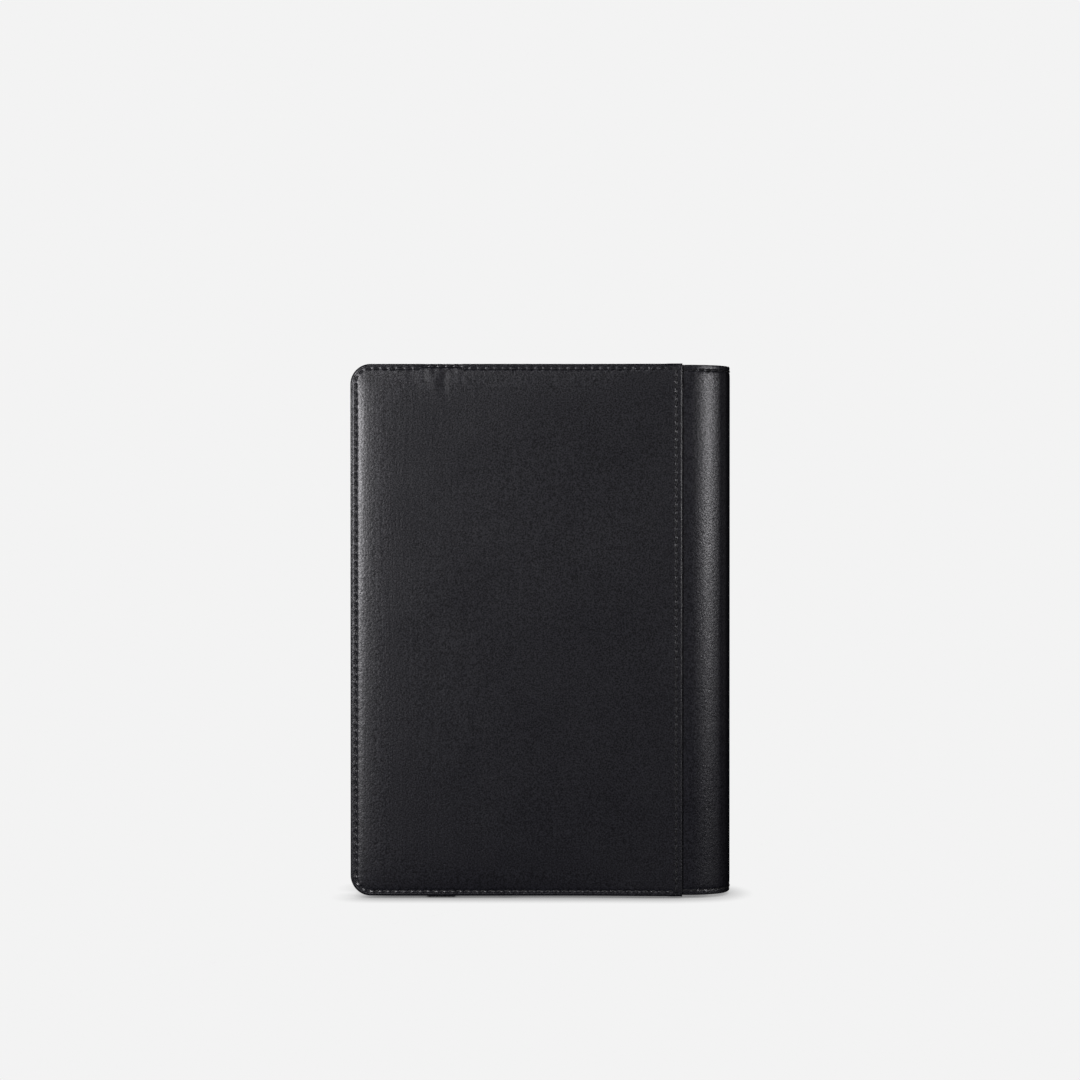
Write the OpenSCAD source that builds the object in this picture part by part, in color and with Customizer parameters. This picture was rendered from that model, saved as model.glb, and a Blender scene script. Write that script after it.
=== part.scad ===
// A5 leather notebook cover, closed and standing on its lower edge.
// The back cover faces -Y, the front cover faces +Y, the free edges are at -X and the spine at +X.
// All lengths are in millimetres, with +Z up and the origin under the middle of the closed cover.

/* [Cover] */
// Height of the two sewn covers
cover_h = 223; // [218:1:232]
// Width from the free edges to the outside of the spine
cover_w = 160; // [158:0.5:164]
// Thickness over both padded covers when closed
cover_t = 25; // [23:0.5:30]
// Width of each cover panel, from its free edge to its seam with the spine
panel_w = 139; // [130:1:140]
// Radius of the two outer corners of each cover
corner_r = 8.5; // [6:0.5:14]

/* [Layers] */
// Thickness of the outer leather and of the spine leather
leather_t = 1.2; // [1:0.1:1.4]
// Thickness of the foam padding under the outer leather
foam_t = 1.2; // [1.2:0.1:1.8]
// Thickness of the stiffener board in each cover
board_t = 1; // [0.8:0.1:1.2]
// Thickness of the lining cloth
lining_t = 0.4; // [0.3:0.05:0.5]
// Thickness of the leather of the two notebook sleeves
sleeve_t = 0.9; // [0.7:0.1:1.1]
// Thickness of the leather of one card slot
slot_t = 0.5; // [0.4:0.05:0.6]

/* [Stitching] */
// Distance from a cover's edge to the middle of its stitch line
edge_inset = 2.3; // [2:0.1:3]
// Distance from the panel's overlapping edge to its stitch line
seam_inset = 2.6; // [2:0.1:3.5]
// Width of the sewing thread
thread_w = 0.6; // [0.4:0.05:0.8]
// Depth of the groove that the thread lies in
thread_d = 0.35; // [0.2:0.05:0.5]

/* [Elastic strap] */
// Width of the elastic strap
strap_w = 11.8; // [8:0.2:15]
// Thickness of the elastic strap
strap_t = 0.7; // [0.5:0.1:1]
// Distance from the free edge to the middle of the strap
strap_from_edge = 38; // [25:1:50]

/* [Notebook] */
// Width of the notebook's cover boards
note_w = 144.5; // [140:0.5:146]
// Height of the notebook's cover boards
note_h = 210; // [205:1:212]
// Thickness of the notebook's cover boards
note_board_t = 1.5; // [1.2:0.1:1.6]
// Width of the notebook's pages
block_w = 142; // [138:1:143]
// Height of the notebook's pages
block_h = 206; // [200:1:208]

/* [Pockets] */
// Width of the sleeve in the back cover, from the free edge
back_sleeve_w = 68; // [50:1:90]
// Width of the sleeve in the front cover, from the free edge
front_sleeve_w = 106; // [104:1:125]
// Width of the card slots
slot_w = 93; // [90:1:96]
// Height of the lowest card slot's mouth above its bottom seam
slot_h = 46; // [40:1:60]
// Height by which each slot's mouth stands above the one before it
slot_step = 14; // [10:1:20]

/* [Hidden] */
$fn = 64;

// places along X
x_free = -cover_w / 2;                      // free edges of the covers
x_seam = x_free + panel_w;                  // overlapping edge of each panel
flange_w = 10;                              // spine leather hidden under each panel
x_strap = x_free + strap_from_edge;

// depths from the middle plane to the outside of each layer, the same in both covers
d_leather = cover_t / 2;
d_foam = d_leather - leather_t;
d_board = d_foam - foam_t;
d_lining = d_board - board_t;
d_inside = d_lining - lining_t;
d_spine = d_foam;                           // the spine leather runs in under the panels
slip = 0.1;                                 // slip fit of the notebook in its sleeves
d_note = d_inside - slip;
d_sleeve = d_note - note_board_t - slip;
d_slots = d_sleeve - sleeve_t;

// heights
strap_play = 0.1;                           // free space between the strap and the covers' edges
z_low = strap_t + strap_play;               // lower edge of the covers
z_high = z_low + cover_h;
rim = 4;                                    // turned edge round the board
foam_rim = 6;                               // the foam is cut smaller than the board
sleeve_rim = 3.2;                           // sewn margin of a sleeve
z_note = z_low + sleeve_rim + 0.3;          // the notebook stands on the sleeves' lower seam
slot_margin = 7;                            // leather left beside the card slots

// text block, between the two sleeves
x_note = x_free + rim + 1;
x_block = x_note + 2;
block_back = d_slots - slip;                // lies against the back sleeve
page_clear = 0.4;                           // free space under the card slots
block_front = d_slots - 3 * slot_t - page_clear;
spine_strip_t = 1.4;                        // card strip along the notebook's spine
band_r = 0.7;                               // head and tail bands of the notebook
leaf_r = 6;                                 // rounded corners of the notebook

// section of the spine: flat, then a wide arc as far as the shoulder angle, then a tight one
shoulder = 24;
x_bend = x_seam + 3;                        // where the flat ends
bend_w = cover_w / 2 - x_bend;
spine_r = (d_spine * sin(shoulder) - bend_w * (1 - cos(shoulder)))
    / (sin(shoulder) + cos(shoulder) - 1);  // radius of the tight arc
shoulder_r = (d_spine - spine_r * cos(shoulder)) / (1 - cos(shoulder));
x_spine = cover_w / 2 - spine_r;            // axis of the tight arc
arc_steps = 24;

// the spine turns at two fold lines, where its surface is 45 degrees from each cover
fold = 45;
fold_play = 0.5;                            // degrees left free on each side of a fold line
strap_clear = 0.6;                          // side play of the strap in its notch
tab_h = 3.6;                                // length of strap sewn into the back cover's seam

leather_black = [0.075, 0.075, 0.085];
lining_black = [0.12, 0.12, 0.13];
thread_black = [0.05, 0.05, 0.055];
strap_black = [0.04, 0.04, 0.045];
foam_grey = [0.35, 0.35, 0.36];
board_grey = [0.55, 0.53, 0.5];
cover_card = [0.1, 0.1, 0.11];
paper_cream = [0.93, 0.9, 0.82];

// Centres the depth of the closed cover, strap included, on the origin.
module centred() translate([0, -strap_t / 2, 0]) children();

module front_side() centred() mirror([0, 1, 0]) children();

// Extrudes an X-Z outline in the back cover, between two depths from the middle plane.
module layer(outer, inner)
    translate([0, -inner, 0]) rotate([90, 0, 0]) linear_extrude(outer - inner) children();

// Upright rectangle whose two corners on the free side are rounded.
module leaf(x, z, w, h, r) {
    translate([x + r, z]) square([w - r, h]);
    translate([x, z + r]) square([w, h - 2 * r]);
    for (end = [r, h - r]) translate([x + r, z + end]) circle(r);
}

// Cover outline from the free edge to x_end.
module cover_outline(inset, x_end)
    leaf(x_free + inset, z_low + inset, x_end - x_free - inset, cover_h - 2 * inset,
         corner_r - inset);

// A band of the outline, along its free edge, top and bottom.
module edge_band(inset, width, x_end)
    difference() {
        cover_outline(inset, x_end);
        cover_outline(inset + width, x_end + 1);
    }

module edge_stitch_line() edge_band(edge_inset - thread_w / 2, thread_w, x_seam);

module seam_stitch_line()
    translate([x_seam - seam_inset - thread_w / 2, z_low + rim])
        square([thread_w, cover_h - 2 * rim]);

// Room for the strap where it crosses the top edges of the covers.
module strap_notch()
    translate([x_strap - strap_w / 2 - strap_clear, -cover_t, z_high - strap_t - strap_play])
        cube([strap_w + 2 * strap_clear, 2 * cover_t, 2 * strap_t]);

// End of the strap, sewn in between the back cover's leather and its lining.
module strap_tab(z, length)
    translate([x_strap - strap_w / 2, -d_lining - strap_t, z])
        cube([strap_w, strap_t, length]);

// Outer leather with its edges turned over the foam and board. The edges are the rim.
module outer_leather(tabs)
    color(leather_black) difference() {
        layer(d_leather, d_lining) cover_outline(0, x_seam);
        layer(d_foam, d_lining - 1) cover_outline(foam_rim, x_seam - flange_w);
        layer(d_board, d_lining - 1) cover_outline(rim, x_seam + 1);
        translate([x_seam - flange_w, -d_foam, z_low - 1])
            cube([flange_w + 1, foam_t + board_t + 1, cover_h + 2]);
        layer(d_leather + 1, d_leather - thread_d) {
            edge_stitch_line();
            seam_stitch_line();
        }
        strap_notch();
        if (tabs) {
            strap_tab(z_low - 1, tab_h + 1);
            strap_tab(z_high - tab_h, tab_h + 1);
        }
    }

module foam_padding()
    color(foam_grey) layer(d_foam, d_board) cover_outline(foam_rim, x_seam - flange_w);

module stiffener_board()
    color(board_grey) layer(d_board, d_lining) cover_outline(rim, x_seam - 1);

module lining()
    color(lining_black) difference() {
        layer(d_lining, d_inside) cover_outline(0, x_seam - 1);
        strap_notch();
    }

// Sleeve sewn on three sides, with its mouth towards the spine.
module notebook_sleeve(width)
    color(leather_black) difference() {
        layer(d_inside, d_slots) cover_outline(0, x_free + width);
        layer(d_inside + 1, d_sleeve) cover_outline(sleeve_rim, x_free + width + 1);
        strap_notch();
    }

module edge_thread()
    color(thread_black) layer(d_leather, d_leather - thread_d) edge_stitch_line();

module seam_thread()
    color(thread_black) layer(d_leather, d_leather - thread_d) seam_stitch_line();

// Point of the spine's section, that deep under its surface, where it has turned by an angle.
function spine_at(angle, depth) = angle < shoulder
    ? [x_bend, shoulder_r - d_spine] + (shoulder_r - depth) * [sin(angle), -cos(angle)]
    : [x_spine, 0] + (spine_r - depth) * [sin(angle), -cos(angle)];

// A layer of the curved spine between two angles, with any points that come before it.
module spine_layer(outer, inner, from, to, lead = [])
    translate([0, 0, z_low]) linear_extrude(cover_h) polygon([
        each lead,
        for (i = [0:arc_steps]) spine_at(from + (to - from) * i / arc_steps, outer),
        for (i = [0:arc_steps]) spine_at(to - (to - from) * i / arc_steps, inner)
    ]);

// A layer that runs flat from x_start and then round the curve as far as the fold line.
module folded_layer(outer, inner, x_start)
    spine_layer(outer, inner, 0, fold - fold_play,
        [[x_start, inner - d_spine], [x_start, outer - d_spine]]);

module spine_flange()
    color(leather_black) folded_layer(0, leather_t, x_seam - flange_w);

module flange_lining()
    color(lining_black) folded_layer(leather_t, leather_t + lining_t, x_seam - 1);

module spine_leather()
    color(leather_black) centred()
        spine_layer(0, leather_t, fold + fold_play, 180 - fold - fold_play);

module spine_lining()
    color(lining_black) centred()
        spine_layer(leather_t, leather_t + lining_t, fold + fold_play, 180 - fold - fold_play);

// Card slots on the front sleeve. The lowest mouth is nearest the pages.
module card_slot(i)
    color(leather_black) front_side()
        layer(d_slots - (2 - i) * slot_t, d_slots - (3 - i) * slot_t)
            translate([x_free + slot_margin, z_low + slot_margin])
                square([slot_w, slot_h + i * slot_step]);

// Elastic from the back cover's seam across the edges of both covers.
module strap_arm(z)
    color(strap_black) translate([x_strap - strap_w / 2, -d_lining - strap_t, z])
        cube([strap_w, d_lining + strap_t + d_leather, strap_t]);

module strap_top_arm() centred() {
    strap_arm(z_high - strap_t);
    color(strap_black) strap_tab(z_high - tab_h, tab_h);
}

module strap_bottom_arm() centred() {
    strap_arm(0);
    color(strap_black) strap_tab(0, z_low + tab_h);
}

module strap_run()
    color(strap_black) centred()
        translate([x_strap - strap_w / 2, d_leather, 0]) cube([strap_w, strap_t, z_high]);

module notebook_board()
    color(cover_card) layer(d_note, d_note - note_board_t)
        leaf(x_note, z_note, note_w, note_h, leaf_r);

module text_block()
    color(paper_cream) centred() layer(block_back, -block_front)
        leaf(x_block, z_note + (note_h - block_h) / 2, block_w, block_h, leaf_r - 1);

module notebook_spine_strip()
    color(cover_card) centred()
        translate([x_block + block_w + 2 * band_r + slip, -block_front, z_note])
            cube([spine_strip_t, 2 * block_front, note_h]);

module page_band(z)
    color(paper_cream) centred()
        translate([x_block + block_w + band_r, block_front, z])
            rotate([90, 0, 0]) cylinder(h = block_back + block_front, r = band_r);

centred() outer_leather(true);  // back_outer_leather
centred() foam_padding();  // back_foam_padding
centred() stiffener_board();  // back_stiffener_board
centred() lining();  // back_lining
centred() notebook_sleeve(back_sleeve_w);  // back_notebook_sleeve
centred() edge_thread();  // back_edge_thread
centred() seam_thread();  // back_seam_thread
centred() spine_flange();  // back_spine_flange
centred() flange_lining();  // back_spine_lining
spine_leather();
spine_lining();
front_side() spine_flange();  // front_spine_flange
front_side() flange_lining();  // front_spine_lining
front_side() outer_leather(false);  // front_outer_leather
front_side() foam_padding();  // front_foam_padding
front_side() stiffener_board();  // front_stiffener_board
front_side() lining();  // front_lining
front_side() notebook_sleeve(front_sleeve_w);  // front_notebook_sleeve
front_side() edge_thread();  // front_edge_thread
front_side() seam_thread();  // front_seam_thread
card_slot(0);  // card_slot_low
card_slot(1);  // card_slot_middle
card_slot(2);  // card_slot_high
strap_top_arm();
strap_bottom_arm();
strap_run();
centred() notebook_board();  // notebook_back_board
front_side() notebook_board();  // notebook_front_board
notebook_spine_strip();
text_block();  // notebook_text_block
page_band(z_note + (note_h + block_h) / 2);  // notebook_head_band
page_band(z_note + (note_h - block_h) / 2);  // notebook_tail_band
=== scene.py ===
# %% [markdown]
# # A leather notebook cover
# Two padded covers of smooth black leather are sewn to a rounded spine of grained leather. An elastic
# strap holds them closed round an A5 notebook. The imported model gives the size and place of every
# part, and this lesson gives each part the surface that a hand would feel: crowned padding, turned
# edges, single stitches, woven elastic and cut paper.

# %% Load the frame
import math

import bmesh
import bpy
import numpy as np
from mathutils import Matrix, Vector


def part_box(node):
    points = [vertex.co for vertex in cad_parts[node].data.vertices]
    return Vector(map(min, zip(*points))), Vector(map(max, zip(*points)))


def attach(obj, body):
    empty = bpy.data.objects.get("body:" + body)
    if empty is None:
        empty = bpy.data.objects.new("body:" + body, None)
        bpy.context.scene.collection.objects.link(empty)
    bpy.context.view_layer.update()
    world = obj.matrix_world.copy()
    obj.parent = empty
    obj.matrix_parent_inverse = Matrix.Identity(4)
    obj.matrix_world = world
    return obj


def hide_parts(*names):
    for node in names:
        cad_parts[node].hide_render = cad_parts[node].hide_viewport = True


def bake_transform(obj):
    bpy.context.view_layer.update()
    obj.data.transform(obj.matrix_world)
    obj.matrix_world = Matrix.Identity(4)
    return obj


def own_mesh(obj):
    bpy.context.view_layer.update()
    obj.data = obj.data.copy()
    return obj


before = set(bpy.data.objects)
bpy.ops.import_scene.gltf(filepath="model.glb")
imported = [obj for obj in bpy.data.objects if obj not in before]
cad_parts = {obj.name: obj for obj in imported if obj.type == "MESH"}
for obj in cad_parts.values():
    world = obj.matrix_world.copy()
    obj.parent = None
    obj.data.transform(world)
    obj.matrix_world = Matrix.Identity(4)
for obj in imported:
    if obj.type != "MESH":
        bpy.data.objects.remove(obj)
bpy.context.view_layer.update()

# %% [markdown]
# ## Sizes
# All shapes below are worked out in millimetres, because leather work is measured in them, and turned
# to metres when a mesh is made. "Out" is a distance from the plane in the middle of the closed cover:
# side +1 is the back cover, towards -Y, and side -1 is the front cover, towards +Y. One formula in
# (x, out, z) then makes both covers.

# %% Sizes and places
METRE = 1000.0


def box_mm(node):
    """Lowest and highest corner of a CAD node, in millimetres."""
    low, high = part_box(node)
    return np.array(low) * METRE, np.array(high) * METRE


panel_low, panel_high = box_mm("back_outer_leather")
front_high = box_mm("front_outer_leather")[1]
X_FREE, X_SEAM = panel_low[0], panel_high[0]
Z_LOW, Z_HIGH = panel_low[2], panel_high[2]
Y_MID = (panel_low[1] + front_high[1]) / 2
OUT_CROWN = Y_MID - panel_low[1]
OUT_RIM = Y_MID - panel_high[1]
OUT_LINING = Y_MID - box_mm("back_lining")[1][1]
OUT_SLEEVE = Y_MID - box_mm("back_notebook_sleeve")[1][1]
OUT_SPINE = Y_MID - box_mm("back_spine_flange")[0][1]
X_TIP = box_mm("spine_leather")[1][0]
LEATHER = OUT_CROWN - OUT_SPINE
PANEL_DEPTH = OUT_CROWN - OUT_RIM
CORNER = 8.5        # radius of the covers' round corners
EDGE_INSET = 2.3    # from the edge to its stitches
SEAM_INSET = 2.6    # from the skived edge over the spine to its stitches
PITCH = 3.4         # from hole to hole
THREAD_R = 0.33
BACK, FRONT = 1, -1
print("cover", round(X_TIP - X_FREE, 1), "x", round(Z_HIGH - Z_LOW, 1), "mm, half depth of the spine",
      round(OUT_SPINE, 1))


def smooth(t):
    """0 below 0, 1 above 1, and the S-curve 3t^2 - 2t^3 between."""
    t = np.clip(t, 0, 1)
    return t * t * (3 - 2 * t)


def bump(t):
    """A bell of height 1 and width 1: exp(-t^2)."""
    return np.exp(-np.square(t))


# %% [markdown]
# ## Meshes from grids
# Every new piece is a grid of points with a face between each four neighbours. The grid is computed as
# one array, and one helper turns it into a mesh, welds the points that meet at poles, and makes the
# faces point outwards. A weld and a recalculation are simple on closed shapes, so each piece is closed.

# %% Grid helpers
def grid_faces(rows, columns, wrap=False):
    """Quads between neighbouring points of a grid. wrap joins the last column to the first."""
    row = np.arange(rows - 1)[:, None]
    column = np.arange(columns if wrap else columns - 1)[None, :]
    following = (column + 1) % columns
    corners = [row * columns + column, row * columns + following,
               (row + 1) * columns + following, (row + 1) * columns + column]
    return np.stack(np.broadcast_arrays(*corners), -1).reshape(-1, 4)


def make_piece(name, points, faces, material, side=None, sharp=40):
    """A mesh object from points in millimetres. With a side, the points are (x, out, z)."""
    points = np.array(points, float).reshape(-1, 3)
    if side is not None:
        points[:, 1] = Y_MID - side * points[:, 1]
    mesh = bpy.data.meshes.new(name)
    mesh.from_pydata((points / METRE).tolist(), [], [list(face) for face in faces])
    shape = bmesh.new()
    shape.from_mesh(mesh)
    bmesh.ops.remove_doubles(shape, verts=shape.verts, dist=1e-7)
    bmesh.ops.dissolve_degenerate(shape, edges=shape.edges, dist=1e-8)
    bmesh.ops.recalc_face_normals(shape, faces=shape.faces)
    shape.to_mesh(mesh)
    shape.free()
    mesh.polygons.foreach_set("use_smooth", np.ones(len(mesh.polygons), bool))
    mesh.set_sharp_from_angle(angle=math.radians(sharp))
    mesh.materials.append(material)
    piece = bpy.data.objects.new(name, mesh)
    bpy.context.scene.collection.objects.link(piece)
    print(name, len(mesh.polygons), "faces")
    return piece


# %% [markdown]
# ## The camera and the light
# The cover stands on a pale sweep, seen square-on from 0.7 m with a 56 mm lens held 154 mm above the
# floor. Black leather shows its shape only by what it reflects, so two softboxes stand in front of it,
# a strong one on the left that draws the swell of the padding and a weaker one on the right that draws
# the spine, with nothing behind the camera. A high one softens the top, two behind rim the edges, and a
# faint one at the side keeps the spine's far edge off black. The sweep is bright to the camera alone: it
# is left out of reflections, as the far walls of a dark studio are.

# %% Camera
FACE_Y = panel_low[1] / METRE
CAMERA_GAP = 0.7015
TILT = 0.325
camera = bpy.data.objects.new("camera", bpy.data.cameras.new("camera"))
camera.data.lens = 56
camera.data.sensor_width = 36
camera.location = (-0.0005, FACE_Y - CAMERA_GAP, 0.154)
camera.rotation_euler = (math.radians(90 - TILT), 0, 0)
bpy.context.scene.collection.objects.link(camera)
bpy.context.scene.camera = camera
bpy.context.scene.view_settings.view_transform = "Standard"
print("camera at", [round(v, 4) for v in camera.location], "m")


# %% Colours and nodes
def colour(code):
    """Linear red, green, blue and alpha of an sRGB hex value."""
    parts = [int(code[i:i + 2], 16) / 255 for i in (1, 3, 5)]
    return tuple(c / 12.92 if c <= 0.04045 else ((c + 0.055) / 1.055) ** 2.4 for c in parts) + (1.0,)


def node(tree, kind, settings=None, **inputs):
    """Adds a node, sets its properties, and sets or links its inputs. A key is the input's name, with
    underscores for spaces, or i and its number; a value is a number, a colour or another node's output."""
    made = tree.nodes.new(kind)
    for key, value in (settings or {}).items():
        setattr(made, key, value)
    for key, value in inputs.items():
        if key[0] == "i" and key[1:].isdigit():
            socket = made.inputs[int(key[1:])]
        else:
            socket = made.inputs[key.replace("_", " ")]
        if isinstance(value, bpy.types.NodeSocket):
            tree.links.new(value, socket)
        else:
            socket.default_value = value
    return made


def new_material(name):
    """An empty node material with its output."""
    material = bpy.data.materials.new(name)
    material.use_nodes = True
    material.node_tree.nodes.clear()
    return material, material.node_tree, material.node_tree.nodes.new("ShaderNodeOutputMaterial")


# %% Floor, backdrop and light
PALE = "#f3f3f3"
floor_material, tree, output = new_material("pale_sweep")
# Next to the cover, ambient occlusion darkens the sweep's glow towards #2c2c2e: a painted contact shadow.
near = node(tree, "ShaderNodeAmbientOcclusion", {"samples": 16}, Color=(1, 1, 1, 1), Distance=0.011)
painted_shadow_floor = node(tree, "ShaderNodeMix", {"data_type": "RGBA"}, i0=near.outputs["AO"], i6=colour("#2c2c2e"),
            i7=colour(PALE))
glow = node(tree, "ShaderNodeEmission", Color=painted_shadow_floor.outputs[2], Strength=1.0)
tree.links.new(glow.outputs[0], output.inputs[0])

FLOOR_HALF = 12.0
floor_mesh = bpy.data.meshes.new("floor")
floor_corners = [(x * FLOOR_HALF, y * FLOOR_HALF, 0) for x, y in ((-1, -1), (1, -1), (1, 1), (-1, 1))]
floor_mesh.from_pydata(floor_corners, [], [(0, 1, 2, 3)])
floor_mesh.materials.append(floor_material)
floor = bpy.data.objects.new("floor", floor_mesh)
bpy.context.scene.collection.objects.link(floor)
floor.visible_diffuse = False
floor.visible_glossy = False

world = bpy.data.worlds.new("studio")
bpy.context.scene.world = world
world.use_nodes = True
world.node_tree.nodes["Background"].inputs[0].default_value = colour(PALE)
world.cycles_visibility.diffuse = False
world.cycles_visibility.glossy = False


AIM = Vector((0, 0, 0.11))


def softbox(name, place, size, power):
    """A rectangular soft light at a place in metres, turned to the middle of the cover, in watts."""
    light = bpy.data.lights.new(name, "AREA")
    light.shape = "RECTANGLE"
    light.size, light.size_y = size
    light.energy = power
    light.color = (0.985, 0.97, 1.0)
    lamp = bpy.data.objects.new(name, light)
    lamp.location = place
    lamp.rotation_euler = (AIM - Vector(place)).to_track_quat("-Z", "Y").to_euler()
    lamp.visible_camera = False
    bpy.context.scene.collection.objects.link(lamp)


softbox("key_left", (-0.88, -1.04, 0.3), (0.2, 0.3), 15)
softbox("fill_right", (0.83, -1.05, 0.3), (0.18, 0.26), 4.8)
softbox("side_right", (1.3, 0.0, 0.25), (0.5, 0.7), 0.25)
softbox("top_soft", (-0.4, -1.1, 0.78), (0.6, 0.2), 2.2)
softbox("behind_high", (0.1, 1.3, 0.9), (1.1, 0.5), 9)
softbox("behind_left", (-0.8, 1.1, 0.3), (0.2, 0.4), 7)
print("softboxes:", len(bpy.data.lights))

# %% [markdown]
# ## Finishes
# Each finish starts from what the real material is and how its surface was made. Patterns are scaled
# from real millimetres through Object coordinates, which are metres here.


# %% Leather
TOOTH_MM, TOOTH_DEPTH = 0.6, 0.035


def leather(name, dark, light, grain_mm, grain_depth, roughness, crease=0.0):
    """Black leather. Its relief is domes between the cells of a Voronoi pattern, squared so that they are
    round on top, then a finer tooth of noise, then creases stretched along Z. The same tooth mottles the
    dye from dark to light and the finish from dull to shiny, and slow clouds vary the roughness."""
    material, tree, output = new_material(name)
    place = node(tree, "ShaderNodeTexCoord").outputs["Object"]
    clouds = node(tree, "ShaderNodeTexNoise", Vector=place, Scale=METRE / 26, Detail=3.0, Roughness=0.55)
    pores = node(tree, "ShaderNodeTexVoronoi", {"feature": "F1"}, Vector=place, Scale=METRE / grain_mm,
                 Randomness=1.0)
    tooth = node(tree, "ShaderNodeTexNoise", Vector=place, Scale=METRE / TOOTH_MM, Detail=2.0,
                 Roughness=0.6)
    uneven = node(tree, "ShaderNodeMapRange", Value=tooth.outputs[0], i1=0.36, i2=0.64)
    base = node(tree, "ShaderNodeMix", {"data_type": "RGBA"}, i0=uneven.outputs[0], i6=colour(dark),
                i7=colour(light))
    sheen = node(tree, "ShaderNodeMapRange", Value=tooth.outputs[0], i1=0.36, i2=0.64, i3=0.3, i4=0.7)
    stretch = node(tree, "ShaderNodeMapping", Vector=place, Scale=(METRE / 2.2, METRE / 2.2, METRE / 34))
    creases = node(tree, "ShaderNodeTexNoise", Vector=stretch.outputs[0], Scale=1.0, Detail=3.0,
                   Roughness=0.5, Distortion=0.6)
    worn = node(tree, "ShaderNodeMapRange", Value=clouds.outputs[0], i3=roughness - 0.04,
                i4=roughness + 0.05)
    domes = node(tree, "ShaderNodeMath", {"operation": "POWER"}, i0=pores.outputs["Distance"], i1=2.0)
    pebbles = node(tree, "ShaderNodeBump", {"invert": True}, Strength=1.0, Distance=grain_depth / METRE,
                   Height=domes.outputs[0])
    toothed = node(tree, "ShaderNodeBump", Strength=1.0, Distance=TOOTH_DEPTH / METRE,
                   Height=tooth.outputs[0], Normal=pebbles.outputs[0])
    creased = node(tree, "ShaderNodeBump", Strength=0.6, Distance=crease / METRE,
                   Height=creases.outputs[0], Normal=toothed.outputs[0])
    shader = node(tree, "ShaderNodeBsdfPrincipled", Base_Color=base.outputs[2],
                  Roughness=worn.outputs[0], IOR=1.5, Specular_IOR_Level=sheen.outputs[0],
                  Normal=creased.outputs[0])
    tree.links.new(shader.outputs[0], output.inputs[0])
    return material


# Box calf: smooth, finely pored, finished with a thin semi-matt film. The eye sees a soft, wide sheen
# with a fine mottle. Its pores are drawn at 0.95 mm, coarser than the real 0.3 mm, to show.
calf = leather("black_box_calf", "#0b0b0e", "#1c1c22", 0.95, 0.035, 0.37, crease=0.1)
# Pebbled cow leather of the spine: cells of about 1 mm, and a glossier finish.
pebbled = leather("black_pebbled_leather", "#0c0c10", "#1d1d23", 1.05, 0.03, 0.34, crease=0.02)
# Split leather of the sleeves and card slots: flatter and more matt.
split_leather = leather("black_split_leather", "#1a1a1d", "#222226", 0.7, 0.06, 0.55, crease=0.15)


# %% Cloth, thread, card and paper
def simple_finish(name, dark, light, roughness, cell_mm, depth, stretch=(1, 1, 1), sheen=0.0):
    """A fibrous finish: two close colours and a relief from noise, both stretched along the fibres."""
    material, tree, output = new_material(name)
    place = node(tree, "ShaderNodeTexCoord").outputs["Object"]
    scale = tuple(METRE / (cell_mm * s) for s in stretch)
    fibres = node(tree, "ShaderNodeMapping", Vector=place, Scale=scale)
    noise = node(tree, "ShaderNodeTexNoise", Vector=fibres.outputs[0], Scale=1.0, Detail=3.0)
    base = node(tree, "ShaderNodeMix", {"data_type": "RGBA"}, i0=noise.outputs[0], i6=colour(dark),
                i7=colour(light))
    relief = node(tree, "ShaderNodeBump", Strength=0.7, Distance=depth / METRE, Height=noise.outputs[0])
    shader = node(tree, "ShaderNodeBsdfPrincipled", Base_Color=base.outputs[2], Roughness=roughness,
                  IOR=1.5, Sheen_Weight=sheen, Normal=relief.outputs[0])
    tree.links.new(shader.outputs[0], output.inputs[0])
    return material


def woven(name, dark, light, thread_mm, depth, roughness):
    """Plain weave: two crossed waves, one along X and one along Z, whose product stands up in a grid."""
    material, tree, output = new_material(name)
    place = node(tree, "ShaderNodeTexCoord").outputs["Object"]
    waves = [node(tree, "ShaderNodeTexWave", {"bands_direction": way, "wave_profile": "SIN"}, Vector=place,
                  Scale=METRE / thread_mm / 20 * math.pi, Distortion=0.4, Detail=1.0)
             for way in ("X", "Z")]
    crossed = node(tree, "ShaderNodeMath", {"operation": "MULTIPLY"}, i0=waves[0].outputs["Fac"],
                   i1=waves[1].outputs["Fac"])
    base = node(tree, "ShaderNodeMix", {"data_type": "RGBA"}, i0=crossed.outputs[0], i6=colour(dark),
                i7=colour(light))
    relief = node(tree, "ShaderNodeBump", Strength=0.8, Distance=depth / METRE, Height=crossed.outputs[0])
    shader = node(tree, "ShaderNodeBsdfPrincipled", Base_Color=base.outputs[2], Roughness=roughness,
                  IOR=1.5, Sheen_Weight=0.25, Normal=relief.outputs[0])
    tree.links.new(shader.outputs[0], output.inputs[0])
    return material


# Bonded polyester thread: black, smooth and slightly waxy.
thread = simple_finish("black_polyester_thread", "#060608", "#0d0d10", 0.62, 0.3, 0.02)
# Twill lining: matt black cloth with threads drawn at 0.6 mm, coarser than the real 0.3 mm, to show.
lining_cloth = woven("black_lining_cloth", "#141416", "#26262a", 0.6, 0.06, 0.85)
# Covered elastic: rubber cords under a woven sleeve, so it has fine ribs along its length.
elastic = woven("black_woven_elastic", "#08080a", "#1b1b1e", 0.8, 0.1, 0.7)
# The notebook's board is card covered with a fine black paper.
cover_card = simple_finish("black_cover_paper", "#1b1b1d", "#252528", 0.6, 0.5, 0.03)
foam = simple_finish("grey_foam", "#4c4c4f", "#6a6a6e", 0.95, 0.5, 0.12)
greyboard = simple_finish("greyboard", "#8a857c", "#a19b90", 0.9, 0.6, 0.05)
band_cloth = simple_finish("cream_band_cloth", "#c9c0aa", "#e6dfcc", 0.8, 0.4, 0.08)


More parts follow.
